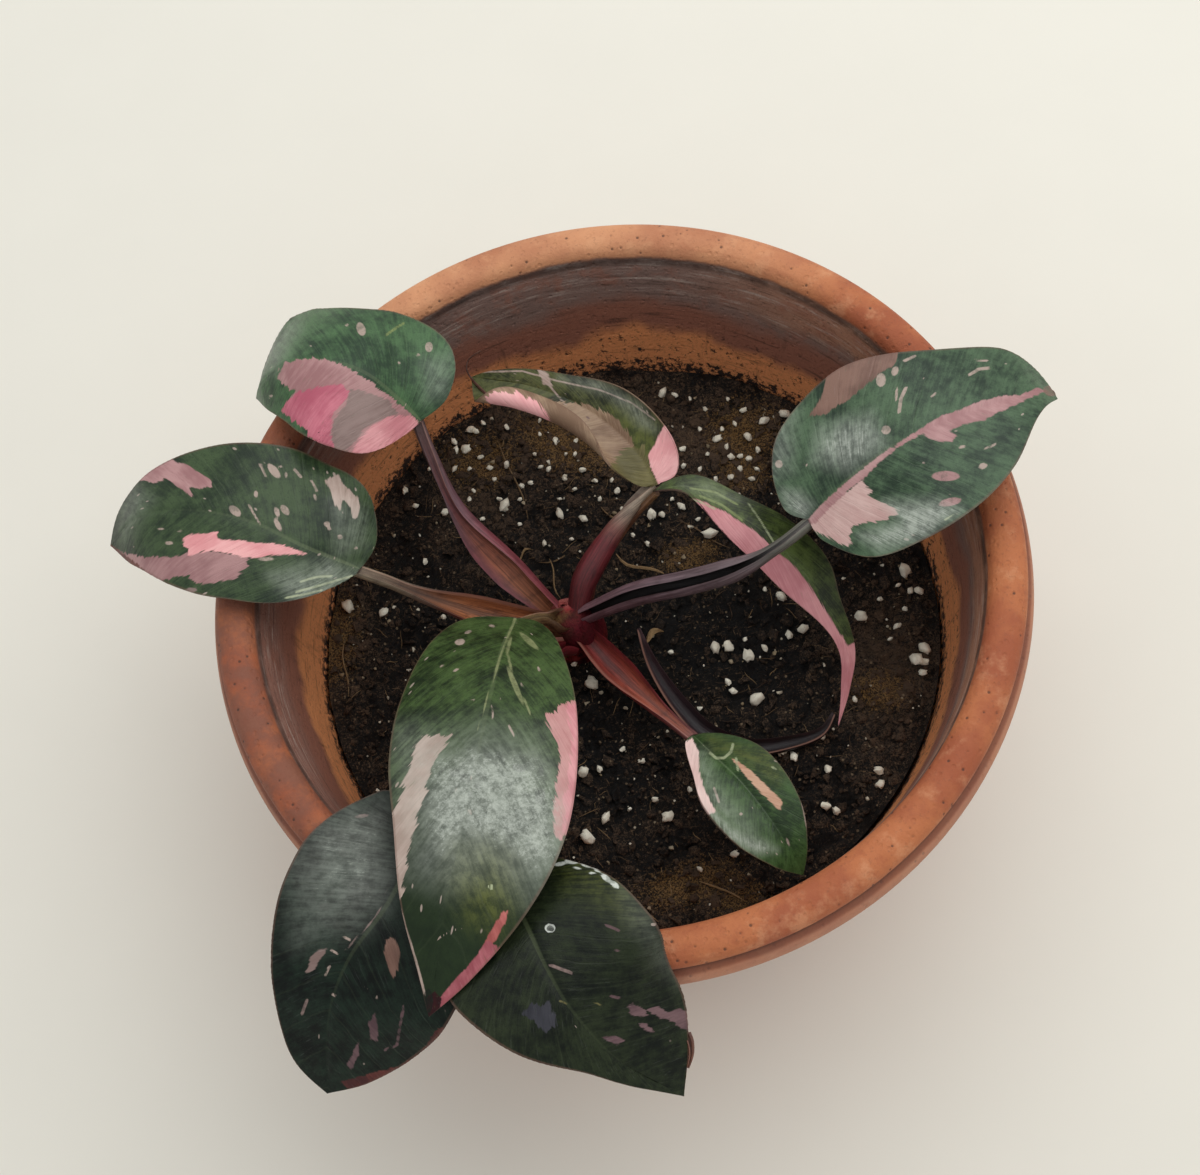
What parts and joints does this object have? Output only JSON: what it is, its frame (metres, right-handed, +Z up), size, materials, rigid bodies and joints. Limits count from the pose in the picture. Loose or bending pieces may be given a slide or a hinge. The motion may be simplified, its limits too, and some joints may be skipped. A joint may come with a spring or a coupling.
{
  "type": "potted philodendron",
  "caption": "Low potted plant with broad variegated leaves on grooved stalks, rooted in soil in a wide, round pot with a rounded rim and drain holes.",
  "frame": {"origin": "middle of the pot's foot, on the plane that the pot stands on", "axes": "+Z up along the pot's axis, -Y towards the pot's front, over which the two lowest leaves hang"},
  "size_m": [0.2945, 0.2792, 0.1448],
  "materials": {
    "terracotta": "unglazed, fired orange-brown with water stains",
    "soil": "moist, dark potting mix",
    "stalk": "satin, dark red",
    "leaf": "waxy dark green with pink patches",
    "cataphyll": "satin, dark purple"
  },
  "bodies": {
    "root": {"pot": "terracotta", "soil": "soil", "stem": "stalk", "leaf_upper_left": "leaf", "leaf_left": "leaf", "leaf_back": "leaf", "leaf_right": "leaf", "leaf_young": "leaf", "leaf_small": "leaf", "leaf_front": "leaf", "leaf_front_left": "leaf", "leaf_front_right": "leaf", "cataphyll": "cataphyll"}
  },
  "joints": []
}
